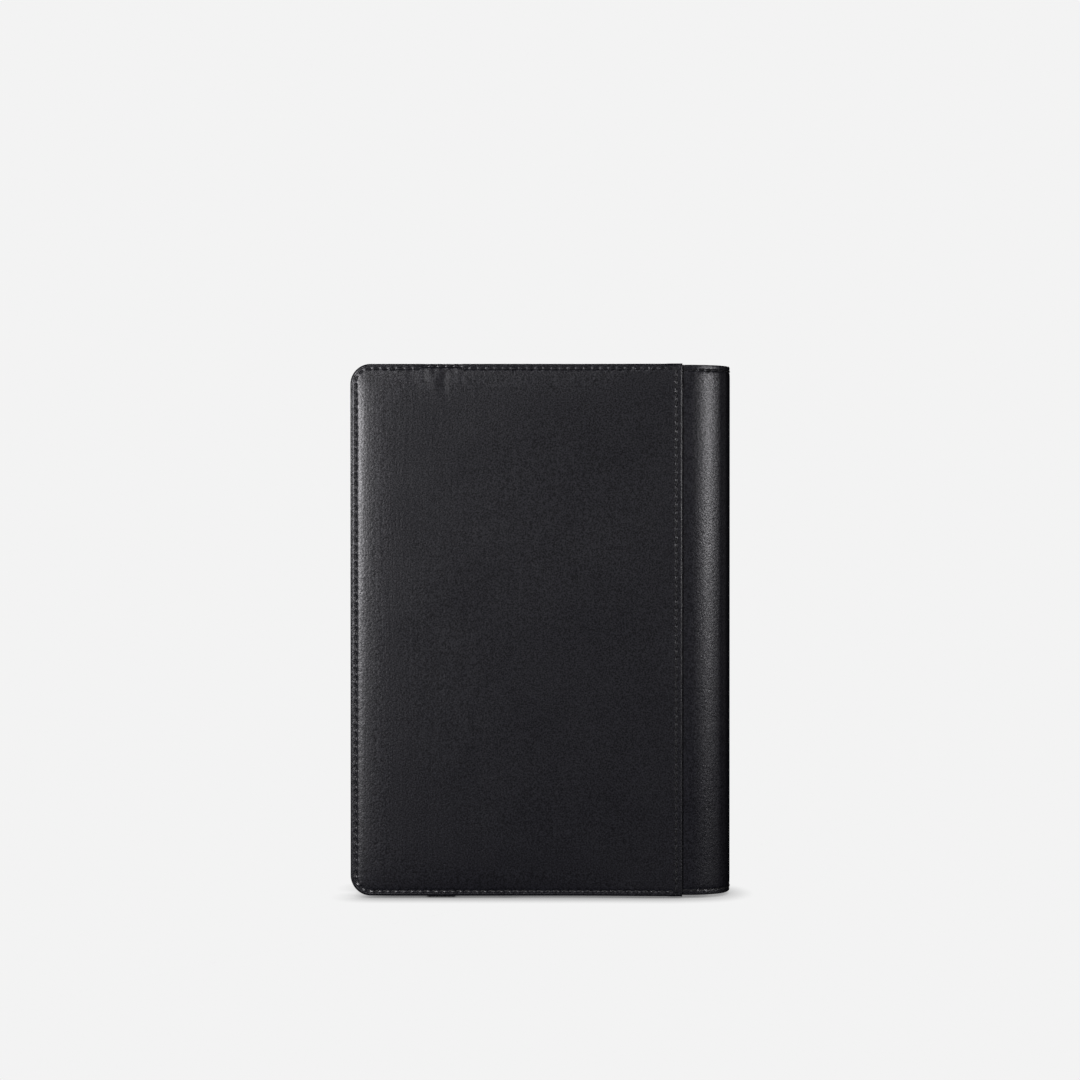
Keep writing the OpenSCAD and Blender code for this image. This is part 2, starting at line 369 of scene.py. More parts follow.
def page_paper():
    """Cream book paper. Its leaves, 0.1 mm thick, show as fine lines across the edges of the block, drawn
    at 0.25 mm, and the first page has faint ruled lines 7 mm apart."""
    material, tree, output = new_material("cream_book_paper")
    place = node(tree, "ShaderNodeTexCoord").outputs["Object"]
    leaves = node(tree, "ShaderNodeTexWave", {"bands_direction": "Y"}, Vector=place,
                  Scale=METRE / 0.25 / 20 * math.pi, Distortion=1.5, Detail=2.0, Detail_Scale=0.4)
    part = node(tree, "ShaderNodeSeparateXYZ", Vector=place)
    facing = node(tree, "ShaderNodeSeparateXYZ",
                  Vector=node(tree, "ShaderNodeNewGeometry").outputs["True Normal"])
    flat = node(tree, "ShaderNodeMath", {"operation": "ABSOLUTE"}, i0=facing.outputs[1])
    on_page = node(tree, "ShaderNodeMath", {"operation": "GREATER_THAN"}, i0=flat.outputs[0], i1=0.9)
    row = node(tree, "ShaderNodeMath", {"operation": "PINGPONG"}, i0=part.outputs[2], i1=0.0035)
    ruled = node(tree, "ShaderNodeMath", {"operation": "LESS_THAN"}, i0=row.outputs[0], i1=0.0001)
    ink = node(tree, "ShaderNodeMath", {"operation": "MULTIPLY"}, i0=ruled.outputs[0],
               i1=on_page.outputs[0])
    shade = node(tree, "ShaderNodeMix", {"data_type": "RGBA"}, i0=leaves.outputs["Fac"],
                 i6=colour("#cfc6b0"), i7=colour("#ece6d6"))
    page = node(tree, "ShaderNodeMix", {"data_type": "RGBA"}, i0=on_page.outputs[0],
                i6=shade.outputs[2], i7=colour("#ece7d9"))
    printed = node(tree, "ShaderNodeMix", {"data_type": "RGBA"}, i0=ink.outputs[0], i6=page.outputs[2],
                   i7=colour("#b9b6ae"))
    shader = node(tree, "ShaderNodeBsdfPrincipled", Base_Color=printed.outputs[2], Roughness=0.85,
                  IOR=1.5)
    tree.links.new(shader.outputs[0], output.inputs[0])
    return material


paper = page_paper()
print("finishes:", len(bpy.data.materials))


# %% [markdown]
# ## Rings round an outline
# A sewn panel, a pocket, a board and a page block are all upright rectangles with some round corners.
# Each is meshed in rings that follow its outline inwards, because everything that matters on a sewn
# panel, the turned edge, the stitch line and the crown, runs parallel to its edge. The rings close at
# a pole in the middle, where the surface is flat and the pole doesn't show.

# %% Outline rings
def ring_maker(low, high, radii, step):
    """Returns ring(inset): points round an upright rectangle, that far inside its edge.

    low and high are (x, z) corners. radii are those of the top right, top left, bottom left and bottom
    right corners. The points of a round corner move towards its centre as the inset grows, and the one
    point of a sharp corner moves along its diagonal. Also returns where each corner starts."""
    signs = [(1, 1), (-1, 1), (-1, -1), (1, -1)]
    middle, half_size = (np.array(low) + high) / 2, (np.array(high) - low) / 2

    def corner(k, inset):
        sign, radius = np.array(signs[k]), radii[k]
        centre = middle + sign * (half_size - radius)
        if radius == 0:
            return (centre - sign * inset)[None, :]
        angle = np.radians(np.linspace(90 * k, 90 * k + 90, max(6, round(radius * 1.57 / step)) + 1))
        return centre + (radius - inset) * np.stack([np.cos(angle), np.sin(angle)], 1)

    counts, starts = [], [0]
    for k in range(4):
        side = np.linalg.norm(corner((k + 1) % 4, 0)[0] - corner(k, 0)[-1])
        counts.append(max(2, round(side / step)))
        starts.append(starts[-1] + len(corner(k, 0)) + counts[-1] - 1)

    def ring(inset):
        parts = []
        for k in range(4):
            start, end = corner(k, inset), corner((k + 1) % 4, inset)
            t = (np.arange(1, counts[k]) / counts[k])[:, None]
            parts += [start, start[-1] + (end[0] - start[-1]) * t]
        return np.concatenate(parts)

    return ring, starts


def shell(ring, insets, heights, under, base, edge=0.35, crown=0.8, steps=14, thin=lambda x: 1.0):
    """Closed panel as (rows, columns, 3) points in (x, height, z).

    The rows run from the pole underneath, out to the edge at the height base(x), round a small radius
    edge, up the side, round the radius crown, and in over the face, whose height is heights(xz) at each
    inset, and then at steps that shrink towards the pole. thin(x) lowers both roundings."""
    rows = []

    def put(xz, height):
        rows.append(np.stack([xz[:, 0], np.broadcast_to(height, len(xz)), xz[:, 1]], 1))

    centre = ring(0).mean(0)
    low_ring = ring(under)
    put(np.tile(centre, (len(low_ring), 1)), base(low_ring[:, 0]).mean())
    for inset in (under, edge):
        put(ring(inset), base(ring(inset)[:, 0]))
    for angle in np.radians([30, 60, 90]):
        xz = ring(edge * (1 - math.sin(angle)))
        put(xz, base(xz[:, 0]) + edge * (1 - math.cos(angle)) * thin(xz[:, 0]))
    rim = heights(ring(crown))
    for angle in np.radians([0, 18, 36, 54, 72]):
        xz = ring(crown * (1 - math.cos(angle)))
        put(xz, rim - crown * (1 - math.sin(angle)) * thin(xz[:, 0]))
    for inset in [crown] + list(insets):
        put(ring(inset), heights(ring(inset)))
    last = ring(insets[-1])
    for t in np.linspace(0, 1, steps + 1)[1:] ** 1.5:
        xz = centre + (last - centre) * (1 - t)
        put(xz, heights(xz))
    return np.array(rows)


# %% [markdown]
# ## Stitches
# Saddle stitches lie at a slant, each from one hole to the next, pulled down at both ends. Each is a
# short tube with eight sides whose radius falls to nothing at its ends, so hundreds of them stay
# light. The pull of the thread sinks the leather under it, and the leather stands up between stitches.

# %% Sewing
def along(path, pitch):
    """Places of holes at even steps, near the pitch, along a path of points."""
    length = np.concatenate([[0], np.cumsum(np.linalg.norm(np.diff(path, axis=0), axis=1))])
    count = max(2, round(length[-1] / pitch))
    at = np.linspace(0, length[-1], count + 1)
    return np.stack([np.interp(at, length, path[:, i]) for i in range(path.shape[1])], 1)


def sew(holes, up, radius=THREAD_R, slant=0.55, rows=9, sides=8, lift=0.16):
    """One tube for each pair of neighbouring holes.

    Its middle line is a + (b - a)t, t from 0.1 to 0.9, moved sideways by slant (t - 1/2) and outwards
    by lift sin(pi t); its radius is radius (1 - |2t - 1|^5)^(1/2)."""
    a, b = holes[:-1, None, :], holes[1:, None, :]
    up = (up[:-1] + up[1:])[:, None, :] / 2
    across = np.cross(b - a, up)
    across /= np.linalg.norm(across, axis=-1, keepdims=True)
    s = np.linspace(0, 1, rows)[None, :, None]
    t = 0.1 + 0.8 * s
    middle = a + (b - a) * t + across * slant * (t - 0.5) + up * lift * np.sin(np.pi * t)
    width = radius * np.sqrt(np.clip(1 - np.abs(2 * s - 1) ** 5, 0, 1))
    turn = np.linspace(0, 2 * np.pi, sides, endpoint=False)
    ring = (np.cos(turn)[:, None] * across[:, :, None, :] + np.sin(turn)[:, None] * up[:, :, None, :])
    points = middle[:, :, None, :] + width[:, :, None, :] * ring
    one = grid_faces(rows, sides, wrap=True)
    faces = (one[None] + (np.arange(len(points)) * rows * sides)[:, None, None]).reshape(-1, 4)
    return points.reshape(-1, 3), faces


# %% [markdown]
# ## The padded covers
# The panel is calf leather over thin foam and board. Its edge is turned over and sewn down flat, so a low
# margin runs outside the stitches and the padding swells up just inside them. Cloth simulation could blow it
# up, but the sewn margin decides this shape, so it is a formula of the distance to the edge. The strap's ends
# are sewn in at the top and bottom edges: the top one pinches the leather.

# %% Height of a cover panel
STRAP_X = sum(corner[0] for corner in box_mm("strap_run")) / 2
MARGIN = 1.1
CROWN = PANEL_DEPTH - 0.1


def edge_distance(x, z):
    """Distance from the free, top and bottom edges, with round corners."""
    left, up = x - X_FREE, np.minimum(z - Z_LOW, Z_HIGH - z)
    in_corner = (left < CORNER) & (up < CORNER)
    return np.where(in_corner, CORNER - np.hypot(CORNER - left, CORNER - up), np.minimum(left, up))


def pinch(x, z):
    """1 at the top edge above the strap, falling to 0 in 4 mm beside it and by 1/e in 4.5 mm below it."""
    beside = 1 - smooth((np.abs(x - STRAP_X) - 6.5) / 4)
    return beside * np.exp(-np.clip(Z_HIGH - z, 0, None) / 4.5)


def stitch_inset(x, z):
    """The stitches lie nearer to the edge where the strap is sewn in at the top."""
    return EDGE_INSET - 0.2 * (z > Z_HIGH - CORNER) - 1.1 * pinch(x, z + 2)


def panel_base(x):
    """The panel lies on the lining, and near the seam on top of the spine leather."""
    return (OUT_SPINE - OUT_RIM - 0.05) * smooth((x - X_SEAM + 12) / 8)


def panel_height(xz, phase, seam_phase):
    """Height of the leather's face over the back of its edge.

    A margin that slopes up to the stitches; a swell inside them, steep and then slow from the free
    edge, and low and slow from the ends; a groove under each stitch; a fine crease near the edge; pits
    at the holes of the seam; low folds under the strap; and slow waves of 0.05 mm."""
    x, z = xz[:, 0], xz[:, 1]
    d, seam = edge_distance(x, z), X_SEAM - x
    inset = stitch_inset(x, z)
    margin = MARGIN + 0.1 * np.clip(d, 0, 2.2) + 1.7 * smooth((x - X_SEAM + 48) / 44)
    ends = np.clip(np.minimum(z - Z_LOW, Z_HIGH - z) - inset - 0.25, 0, None)
    side = np.clip(x - X_FREE - inset - 0.25, 0, None)
    swell = (1 - 0.22 * np.exp(-side) - 0.78 * np.exp(-side / 7)) * (1 - 0.55 * np.exp(-ends / 6))
    height = margin + (CROWN - margin) * swell
    height -= (CROWN - PANEL_DEPTH + 0.12) * smooth((x - X_SEAM + 24) / 22)
    hole = np.cos(np.pi * phase) ** 2
    height -= 0.46 * (1 - hole ** 1.2) * bump((d - inset) / 0.55)
    height += 0.05 * (hole - 0.5) * bump((d - inset - 0.9) / 0.8)
    height -= 0.13 * bump((d - 1.3) / 0.2)
    seam_hole = np.cos(np.pi * seam_phase) ** 2
    height -= (0.05 + 0.14 * seam_hole ** 3) * bump((seam - SEAM_INSET) / 0.38)
    height -= 0.3 * pinch(x, z) * (1 + 0.35 * np.sin(x * 1.5))
    below = Z_HIGH - z
    height -= 0.2 * bump((x - STRAP_X - 4 + below * 0.35) / 1.8) * bump((below - 7) / 4.5)
    height += 0.2 * bump((x - STRAP_X + 5 - below * 0.3) / 2) * bump((below - 7) / 5)
    height -= 0.14 * bump((x - STRAP_X + 13 - below * 0.2) / 2.2) * bump((below - 6) / 4)
    slow = np.sin(x / 17 + 1.3) * np.sin(z / 23 + 0.4) + 0.6 * np.sin(x / 41 - z / 31)
    return height + 0.045 * slow * smooth((d - 6) / 20)


# %% Make a cover panel
INSETS = [1.2, 1.3, 1.4, 1.55, 1.75, 1.9, 2.05, 2.2, 2.35, 2.5, 2.65, 2.85, 3.1, 3.4, 3.8, 4.3, 4.9,
          5.6, 6.5]
STEP = PITCH / 5
SEAM_Z = np.linspace(Z_LOW + 1.2, Z_HIGH - 1.2, 2)
ring, starts = ring_maker((X_FREE, Z_LOW), (X_SEAM, Z_HIGH), (0, CORNER, CORNER, 0), STEP)
edge_path = ring(EDGE_INSET)[starts[0]:starts[3] + 1]
edge_path[0, 0] = edge_path[-1, 0] = X_SEAM
edge_holes = along(edge_path, PITCH)
seam_holes = along(np.array([[X_SEAM - SEAM_INSET, z] for z in SEAM_Z]), PITCH)
STITCHES = len(edge_holes) - 1
print("edge stitches:", STITCHES, "seam stitches:", len(seam_holes) - 1)


def edge_phase():
    """How many stitches along the edge each column of the rings lies."""
    path = ring(EDGE_INSET)
    path[[0, starts[3]], 0] = X_SEAM
    run = np.concatenate([[0], np.cumsum(np.linalg.norm(np.diff(path, axis=0), axis=1))])
    return np.where(np.arange(len(path)) <= starts[3], run / run[starts[3]] * STITCHES, 0)


def seam_phase(z):
    """How many stitches along the seam a height lies."""
    return (z - SEAM_Z[0]) / (SEAM_Z[1] - SEAM_Z[0]) * (len(seam_holes) - 1)


PHASE = edge_phase()


def make_way(points, depth):
    """Lowers the top edge under the strap by a depth, for (x, height, z) points."""
    points = points.copy()
    points[..., 2] -= depth * pinch(points[..., 0], points[..., 2] + 1)
    return points


# The strap crosses the whole edge of the front cover, but comes out from under the back one's leather.
STRAP_DEPTH = {BACK: 0.0, FRONT: 0.85}


def seam_thin(x):
    """The skived edge over the spine is thinner than the turned edges."""
    return 1 - 0.75 * smooth((x - X_SEAM + 1.5) / 0.8)


def face_height(xz):
    """Height of the face at one whole ring, which has a point for each column of PHASE."""
    return panel_height(xz, PHASE, seam_phase(xz[:, 1]))


panel = shell(ring, INSETS, face_height, 3.0, panel_base, crown=1.1, thin=seam_thin)
PANEL_NAMES = {BACK: "back", FRONT: "front"}


def surface_out(x, z):
    """How far out the stitch grooves lie on a panel, between their holes."""
    plain = panel_height(np.stack([x, z], 1), np.full(len(x), 0.5), np.full(len(x), 0.5))
    return OUT_RIM + plain


def stitched(name, holes, out, side, body, node_name, **shape):
    """Stitches on a flat seam: holes are (x, z), and out says how far out each of them lies."""
    places = np.stack([holes[:, 0], out, holes[:, 1]], 1)
    points, faces = sew(places, np.tile([0.0, 1.0, 0.0], (len(places), 1)), **shape)
    piece = make_piece(name, points, faces, thread, side)
    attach(piece, body)
    if node_name:
        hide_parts(node_name)
    return piece


for side, body in PANEL_NAMES.items():
    points = make_way(panel, STRAP_DEPTH[side])
    points[..., 1] += OUT_RIM
    cover = make_piece(body + "_cover_leather", points, grid_faces(*panel.shape[:2], wrap=True), calf,
                       side, sharp=60)
    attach(cover, body)
    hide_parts(body + "_outer_leather")
    holes = np.stack([edge_holes[:, 0], edge_holes[:, 0] * 0 + 2, edge_holes[:, 1]], 1)
    holes[:, 2] += (EDGE_INSET - stitch_inset(holes[:, 0], holes[:, 2])) * (holes[:, 2] > Z_HIGH - CORNER)
    holes = make_way(holes, STRAP_DEPTH[side])[:, [0, 2]]
    stitched(body + "_edge_stitches", holes, surface_out(*holes.T) - 0.08, side, body,
             body + "_edge_thread", slant=0.8, lift=0.08)
    stitched(body + "_seam_stitches", seam_holes, surface_out(*seam_holes.T) + 0.03, side, body,
             body + "_seam_thread", slant=0.5, radius=0.25)


# %% [markdown]
# ## The spine
# The spine is one hide, flat where it runs in under each cover and rounded between them, with its top and
# bottom edges turned and sewn like the covers'. When the cover opens it unrolls. It is made as two halves
# that meet at the top of the curve.

# %% Spine sheet
SHOULDER = math.radians(24)
X_BEND = X_SEAM + 3
BEND_W = X_TIP - X_BEND
SPINE_R = ((OUT_SPINE * math.sin(SHOULDER) - BEND_W * (1 - math.cos(SHOULDER)))
           / (math.sin(SHOULDER) + math.cos(SHOULDER) - 1))
SHOULDER_R = (OUT_SPINE - SPINE_R * math.cos(SHOULDER)) / (1 - math.cos(SHOULDER))
print("spine radii:", round(SHOULDER_R, 1), "and", round(SPINE_R, 1), "mm")


def spine_line(start_x, offset):
    """Points and outward normals along half of the spine's section: flat, then a wide arc as far as the
    shoulder angle, then a tight arc as far as the tip."""
    flat = np.linspace(start_x, X_BEND, max(3, round((X_BEND - start_x) / 0.7)), endpoint=False)
    wide = np.linspace(0, SHOULDER, 20, endpoint=False)
    tight = np.linspace(SHOULDER, np.pi / 2, 29)
    angle = np.concatenate([flat * 0, wide, tight])
    centre_x = np.concatenate([flat, wide * 0 + X_BEND, tight * 0 + X_TIP - SPINE_R])
    centre_out = np.concatenate([flat * 0 + OUT_SPINE, wide * 0 + OUT_SPINE - SHOULDER_R, tight * 0])
    radius = np.concatenate([flat * 0, wide * 0 + SHOULDER_R, tight * 0 + SPINE_R]) - offset
    normal = np.stack([np.sin(angle), np.cos(angle)], 1)
    return np.stack([centre_x, centre_out], 1) + radius[:, None] * normal, normal


def spine_sheet(start_x, offset, thickness, trim, stitched_edge):
    """Closed half sheet, as a grid of section points by a loop round the sheet's own section.

    The loop goes up the outer face, round the top edge as a half circle, down the inner face and round
    the bottom edge. The outer face dips at the stitch line and swells 0.05 mm between the edges."""
    line, normal = spine_line(start_x, offset)
    low, high, r = Z_LOW + trim, Z_HIGH - trim, thickness / 2
    near = np.array([0.0, 0.5, 0.8, 1.0, 1.2, 1.4, 1.6, 1.8, 2.0, 2.2, 2.5, 3.0, 3.8, 5.0, 8.0])
    rise = np.concatenate([low + r + near, np.linspace(low + 16, high - 16, 14), (high - r - near)[::-1]])
    cap = np.radians(np.linspace(90, -90, 8)[1:-1])
    z = np.concatenate([rise, high - r + r * np.cos(cap), rise[::-1], low + r - r * np.cos(cap)])
    h = np.concatenate([rise * 0 + r, r * np.sin(cap), rise * 0 - r, -r * np.sin(cap)])
    run = np.concatenate([[0], np.cumsum(np.linalg.norm(np.diff(line, axis=0), axis=1))])
    height = np.tile(h, (len(line), 1))
    if stitched_edge:
        count = round(run[-1] / PITCH)
        hole = np.cos(np.pi * run / run[-1] * count)[:, None] ** 2
        inset = np.minimum(rise - low, high - rise)[None, :]
        dip = (0.1 + 0.2 * (1 - hole)) * bump((inset - EDGE_INSET) / 0.5) + 0.07 * bump((inset - 1.2) / 0.25)
        swell = 0.08 * smooth((inset - EDGE_INSET) / 3)
        height[:, :len(rise)] += swell - dip
    x = line[:, :1] + normal[:, :1] * (height - r)
    out = line[:, 1:] + normal[:, 1:] * (height - r)
    points = np.stack([x, out, np.broadcast_to(z, x.shape)], -1)
    rows, columns = x.shape
    faces = [tuple(f) for f in grid_faces(rows, columns, wrap=True)]
    faces += [tuple(range(columns)), tuple(range((rows - 1) * columns, rows * columns))]
    return points, faces


TIP = (X_TIP / METRE, Y_MID / METRE, 0.1)
BEND_START = [((X_BEND + 4.5) / METRE, (Y_MID - side * (OUT_SPINE - 0.35)) / METRE, 0.1)
              for side in (BACK, FRONT)]
HALVES = {BACK: ("back", "spine", BEND_START[0], TIP), FRONT: ("spine", "front", TIP, BEND_START[1])}
SPINE_TRIM, SPINE_LINING_TRIM = 0.45, 1.2
SPINE_LAP = 0.8     # how far the spine's lining runs in under the panel


def spine_stitches(z):
    """Stitches round half of the spine at a height, with their normals."""
    line, normal = spine_line(X_SEAM, 0)
    run = np.concatenate([[0], np.cumsum(np.linalg.norm(np.diff(line, axis=0), axis=1))])
    at = np.linspace(0, run[-1], round(run[-1] / PITCH) + 1)
    both = np.stack([np.interp(at, run, c) for c in np.concatenate([line, normal], 1).T], 1)
    up = np.stack([both[:, 2], both[:, 3], both[:, 0] * 0], 1)
    places = np.stack([both[:, 0], both[:, 1], both[:, 0] * 0 + z], 1) - up * 0.14
    return sew(places, up)


for side, (first, second, start, end) in HALVES.items():
    name = PANEL_NAMES[side]
    points, faces = spine_sheet(X_SEAM - 8, 0, LEATHER, SPINE_TRIM, True)
    half_spine = make_piece(name + "_half_of_spine", points, faces, pebbled, side, sharp=60)
    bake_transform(half_spine)
    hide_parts(name + "_spine_flange", *(["spine_leather"] if side == BACK else []))
    points, faces = spine_sheet(X_SEAM - SPINE_LAP, LEATHER, 0.4, SPINE_LINING_TRIM, False)
    half_lining = make_piece(name + "_half_of_spine_lining", points, faces, lining_cloth,
                             side)
    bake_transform(half_lining)
    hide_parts(name + "_spine_lining", *(["spine_lining"] if side == BACK else []))
    stitch_trim = SPINE_TRIM + EDGE_INSET - 0.1
    parts = [spine_stitches(z) for z in (Z_LOW + stitch_trim, Z_HIGH - stitch_trim)]
    points = np.concatenate([p for p, f in parts])
    faces = np.concatenate([parts[0][1], parts[1][1] + len(parts[0][0])])
    sewn = make_piece(name + "_spine_stitches", points, faces, thread, side)
    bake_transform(sewn)


# %% [markdown]
# ## Inside the covers
# Each cover is lined with cloth, and a leather sleeve with turned edges is sewn over it on three sides.
# The notebook's board pushes the sleeve up, so it is low at its seams and level over the board. The
# lining is glued down flat, so it is a plain thin sheet and needs no cloth simulation.

# %% Lining and sleeves
LINING_T = OUT_RIM - OUT_LINING
SLEEVE_T = OUT_LINING - OUT_SLEEVE
LINING_INSET, LINING_OVERLAP = 0.7, 1.0
SLEEVE_INSET = 0.3


def level(value):
    """The same height at every point of a ring, for a shell's face or its base."""
    return lambda at: np.full(len(at), float(value))


def sleeve_height(mouth):
    """Height over the lining: 0.95 mm at the seams, level over the board, creased along its mouth."""
    def height(xz):
        d, lip = edge_distance(xz[:, 0], xz[:, 1]), mouth - xz[:, 0]
        plateau = 0.95 + (SLEEVE_T - 0.95) * smooth((d - 2.6) / 2.4)
        groove = 0.14 * bump((d - EDGE_INSET) / 0.45)
        return plateau - groove - 0.1 * bump((lip - 1.6) / 0.22) - 0.1 * bump((lip - 3.4) / 0.22)
    return height


def sleeve_base(mouth):
    """The sleeve's back: flat on the lining, and lifted near its mouth, where the board goes in."""
    return lambda x: (SLEEVE_T - 0.9) * smooth((x - mouth + 7) / 5)


for side, body in PANEL_NAMES.items():
    radius = CORNER - LINING_INSET
    lining_ring, _ = ring_maker((X_FREE + LINING_INSET, Z_LOW + LINING_INSET),
                                (X_SEAM - LINING_OVERLAP, Z_HIGH - LINING_INSET), (0, radius, radius, 0), 3.0)
    sheet = shell(lining_ring, [0.6, 2.0], level(LINING_T), 2.0, level(0), 0.1, 0.15, steps=3)
    sheet = make_way(sheet, 0.2)
    sheet[..., 1] = OUT_RIM - sheet[..., 1]
    lining = make_piece(body + "_cloth_lining", sheet, grid_faces(*sheet.shape[:2], wrap=True),
                        lining_cloth, side)
    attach(lining, body)
    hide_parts(body + "_lining")

    mouth = box_mm(body + "_notebook_sleeve")[1][0]
    radius = CORNER - SLEEVE_INSET
    sleeve_ring, _ = ring_maker((X_FREE + SLEEVE_INSET, Z_LOW + SLEEVE_INSET),
                                (mouth, Z_HIGH - SLEEVE_INSET), (0, radius, radius, 0), 1.2)
    sheet = shell(sleeve_ring, [0.6, 0.9, 1.3, 1.5, 1.7, 2.0, 2.3, 2.6, 3.0, 3.3, 3.5, 4.0, 4.6, 5.4, 6.5],
                  sleeve_height(mouth), 3.0, sleeve_base(mouth), 0.25, 0.4, steps=6)
    sheet = make_way(sheet, 0.6)
    sheet[..., 1] = OUT_LINING - sheet[..., 1]
    sleeve = make_piece(body + "_leather_sleeve", sheet, grid_faces(*sheet.shape[:2], wrap=True),
                        split_leather, side, sharp=60)
    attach(sleeve, body)
    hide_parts(body + "_notebook_sleeve")

    inner = np.where(edge_holes[:, 0] < mouth, 0.85, 0.02)
    places = np.stack([edge_holes[:, 0], OUT_LINING - inner, edge_holes[:, 1]], 1)
    points, faces = sew(places, np.tile([0.0, -1.0, 0.0], (len(places), 1)))
    inside = make_piece(body + "_inside_stitches", points, faces, thread, side)
    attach(inside, body)


# %% [markdown]
# ## Card slots
# Three pieces of thin leather, each taller than the one in front of it, are sewn down at their sides
# and bottom to the front sleeve. A creased line runs along each mouth.

# %% Card slots
SLOT_T = 0.5
SLOT_INSET = 1.4
SLOT_SHOWN = 14     # how much of a slot's side shows above the one in front of it
SLOTS = ["card_slot_high", "card_slot_middle", "card_slot_low"]


def slot_height(top):
    """Thickness of the slot's leather, creased 1.5 mm under its mouth."""
    return lambda xz: SLOT_T - 0.08 * bump((top - xz[:, 1] - 1.5) / 0.25)


for name in SLOTS:
    low, high = box_mm(name)
    under_out = high[1] - Y_MID
    slot_ring, _ = ring_maker((low[0], low[2]), (high[0], high[2]), (1.5, 1.5, 1.5, 1.5), 2.0)
    sheet = shell(slot_ring, [0.4, 0.8, 1.2, 1.4], slot_height(high[2]), 1.0, level(0), 0.1, 0.2,
                  steps=10)
    sheet[..., 1] = under_out - sheet[..., 1]
    card = make_piece(name + "_leather", sheet, grid_faces(*sheet.shape[:2], wrap=True), split_leather,
                      FRONT)
    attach(card, "front")
    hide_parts(name)
    lowest = name == SLOTS[-1]
    left, right, top = low[0] + SLOT_INSET, high[0] - SLOT_INSET, high[2] - 0.8
    bottom = low[2] + SLOT_INSET if lowest else high[2] - SLOT_SHOWN
    lines = [[[left, top], [left, bottom]], [[right, bottom], [right, top]]]
    if lowest:
        lines.append([[left, bottom], [right, bottom]])
    parts, count = [], 0
    for line in lines:
        holes = along(np.array(line), 3.0)
        places = np.stack([holes[:, 0], np.full(len(holes), under_out - SLOT_T), holes[:, 1]], 1)
        points, faces = sew(places, np.tile([0.0, -1.0, 0.0], (len(places), 1)), radius=0.2, lift=0.08)
        parts.append((points, faces + count))
        count += len(points)
    seam = make_piece(name + "_stitches", np.concatenate([p for p, f in parts]),
                      np.concatenate([f for p, f in parts]), thread, FRONT)
    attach(seam, "front")


# %% [markdown]
# ## The strap
# The strap is one elastic band: it comes out of the back cover's seam, crosses the edges of the closed
# covers, and runs down the front. The run slides to the back when the strap is put behind; the two arms stay
# on the back cover.

# %% Strap
def band(name, low, high, length_axis, slot_body):
    """A flat band along one axis. Across it, a section of half thickness (1 - |u|^14)^(1/2), with seven
    ribs, each a cosine that takes up to a quarter off; along it, ends rounded as quarter circles."""
    low, high = np.array(low, float), np.array(high, float)
    axes = [0, 1, 2]
    axes.remove(length_axis)
    wide, thin = axes
    middle, half_size = (low + high) / 2, (high - low) / 2
    across = np.linspace(-1, 1, 49)
    edge = np.sqrt(np.clip(1 - np.abs(across) ** 14, 0, 1))
    face = half_size[thin] * edge * (1 - 0.12 + 0.12 * np.cos(across * np.pi * 7))
    loop_w = np.concatenate([across, across[::-1][1:-1]]) * half_size[wide]
    loop_t = np.concatenate([face, -face[::-1][1:-1]])
    s = np.linspace(-1, 1, 41)
    s = np.sign(s) * np.abs(s) ** 0.6
    half_length, half_thick = half_size[length_axis], half_size[thin]
    past_end = (np.abs(s) * half_length - half_length + half_thick) / half_thick
    end = np.sqrt(1 - past_end.clip(0, 1) ** 2)
    points = np.zeros((len(s), len(loop_w), 3))
    points[..., wide] = middle[wide] + loop_w[None, :]
    points[..., thin] = middle[thin] + loop_t[None, :] * np.maximum(end, 0.02)[:, None]
    points[..., length_axis] = middle[length_axis] + (s * half_length)[:, None]
    rows, columns = points.shape[:2]
    faces = [tuple(f) for f in grid_faces(rows, columns, wrap=True)]
    faces += [tuple(range(columns)), tuple(range((rows - 1) * columns, rows * columns))]
    piece = make_piece(name, points, faces, elastic)
    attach(piece, slot_body)
    return piece


run_low, run_high = box_mm("strap_run")
run = band("strap_front_run", run_low, run_high, 2, "strap")
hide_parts("strap_run")
for place in ("top", "bottom"):
    low, high = box_mm("strap_" + place + "_arm")
    strap_t = run_high[1] - run_low[1]
    low[1] = Y_MID - OUT_RIM - 0.35
    if place == "top":
        low[2] = high[2] - strap_t - 0.06
    else:
        high[2] = low[2] + strap_t
    high[1] = (run_low[1] + run_high[1]) / 2
    arm = band("strap_" + place + "_band", low, high, 1, "back")
    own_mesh(arm)
    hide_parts("strap_" + place + "_arm")


# %% [markdown]
# ## The notebook
# The notebook inside is an ordinary A5 one: two boards covered in black paper, held in the sleeves, a
# card strip at its spine, and a block of cream pages sewn in gatherings, which show as shallow grooves
# at its edges.

# %% Notebook
for name, body in (("notebook_back_board", "back"), ("notebook_front_board", "front")):
    low, high = box_mm(name)
    side = BACK if body == "back" else FRONT
    board_ring, _ = ring_maker((low[0], low[2]), (high[0], high[2]), (0, 6, 6, 0), 1.5)
    thick = high[1] - low[1]
    sheet = shell(board_ring, [1.0, 2.0], level(thick), 2.0, level(0), 0.3, 0.4, steps=3)
    outer = max(abs(low[1] - Y_MID), abs(high[1] - Y_MID))
    sheet[..., 1] = outer - sheet[..., 1]
    board = make_piece(name + "_paper", sheet, grid_faces(*sheet.shape[:2], wrap=True), cover_card,
                       side)
    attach(board, body)
    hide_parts(name)

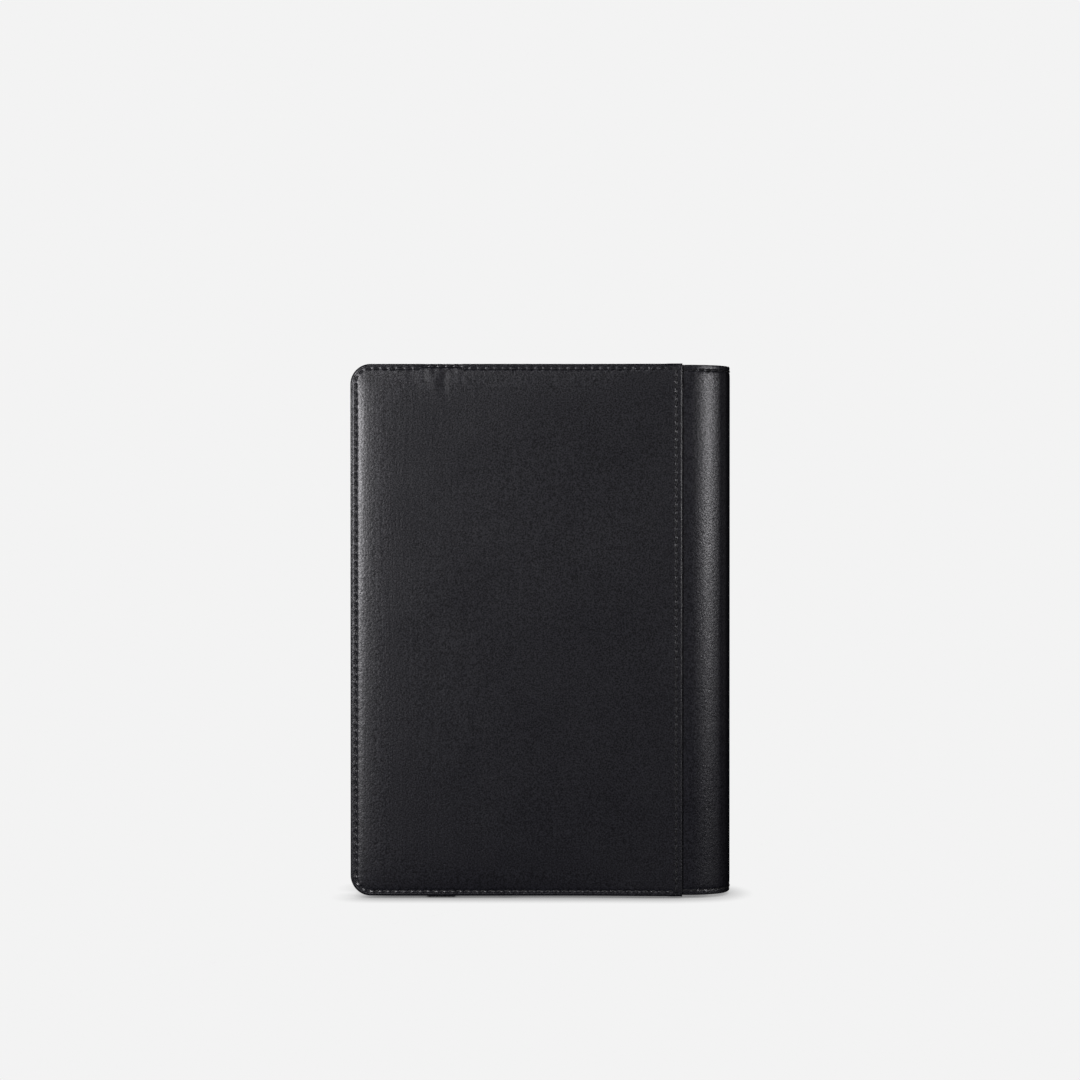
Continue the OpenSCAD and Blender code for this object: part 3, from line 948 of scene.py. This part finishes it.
low, high = box_mm("notebook_spine_strip")
strip_ring, _ = ring_maker((low[1], low[2]), (high[1], high[2]), (0.8, 0.8, 0.8, 0.8), 1.0)
sheet = shell(strip_ring, [0.5, 0.7], level(high[0] - low[0]), 0.7, level(0), 0.2, 0.3, steps=3)
points = np.stack([low[0] + sheet[..., 1], sheet[..., 0], sheet[..., 2]], -1)
strip = make_piece("notebook_spine_card", points, grid_faces(*sheet.shape[:2], wrap=True), cover_card)
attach(strip, "spine")
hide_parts("notebook_spine_strip")

low, high = box_mm("notebook_text_block")
page_ring, _ = ring_maker((low[0], low[2]), (high[0], high[2]), (0, 5, 5, 0), 2.0)
GATHERINGS = 8
through = np.linspace(0, 1, GATHERINGS * 6 + 1)
groove = 0.22 * np.abs(np.cos(np.pi * GATHERINGS * through)) ** 8
rows = [np.stack([page_ring(g)[:, 0], np.full(len(page_ring(g)), low[1] + (high[1] - low[1]) * v),
                  page_ring(g)[:, 1]], 1) for v, g in zip(through, groove)]
centre = page_ring(0).mean(0)
poles = [np.tile([centre[0], y, centre[1]], (len(rows[0]), 1)) for y in (low[1], high[1])]
block = np.array([poles[0]] + rows + [poles[1]])
pages = make_piece("notebook_pages", block, grid_faces(*block.shape[:2], wrap=True), paper)
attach(pages, "back")
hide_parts("notebook_text_block")

TURNS = 14          # of silk round the cord of a head band
turn = np.linspace(0, 2 * np.pi, 13)[:-1]
s = np.linspace(0, 1, 61)
for name in ("notebook_head_band", "notebook_tail_band"):
    low, high = box_mm(name)
    radius = (high[0] - low[0]) / 2 * (0.86 + 0.14 * np.cos(2 * np.pi * s * TURNS) ** 2)
    radius[[0, -1]] = 0
    middle = (low + high) / 2
    points = np.stack([middle[0] + radius[:, None] * np.cos(turn),
                       np.broadcast_to((low[1] + (high[1] - low[1]) * s)[:, None], (len(s), len(turn))),
                       middle[2] + radius[:, None] * np.sin(turn)], -1)
    bound = make_piece(name + "_cord", points, grid_faces(len(s), len(turn), wrap=True), band_cloth)
    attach(bound, "back")
    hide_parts(name)


# %% [markdown]
# ## Hidden layers
# The boards keep their CAD shape, which is right for cut sheets, and get their material. The foam lies on
# them and is pressed thin near its edges, where the leather runs down to its seam.

# %% Foam and boards
FOAM_CORNER = 2.5
SKIVED = 0.75       # least thickness of the leather over the foam


def foam_height(lowest, highest):
    """The foam's face: the underside of the leather, kept between two heights."""
    return lambda xz: np.clip(surface_out(*xz.T) - OUT_RIM - SKIVED, lowest, highest)


for side, body in PANEL_NAMES.items():
    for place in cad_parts[body + "_stiffener_board"].material_slots:
        place.material = greyboard
    low, high = box_mm(body + "_foam_padding")
    board_top, foam_top = sorted(side * (Y_MID - v) - OUT_RIM for v in (low[1], high[1]))
    foam_ring, _ = ring_maker((low[0], low[2]), (high[0], high[2]), (0, FOAM_CORNER, FOAM_CORNER, 0), 3.0)
    pad = shell(foam_ring, [0.5, 1, 2, 3.5, 5.5, 8, 12, 17, 24], foam_height(board_top + 0.15, foam_top),
                2.0, level(board_top + 0.02), 0.05, 0.1, steps=5)
    pad[..., 1] += OUT_RIM
    pad = make_piece(body + "_foam_pad", pad, grid_faces(*pad.shape[:2], wrap=True), foam, side)
    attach(pad, body)
    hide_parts(body + "_foam_padding")
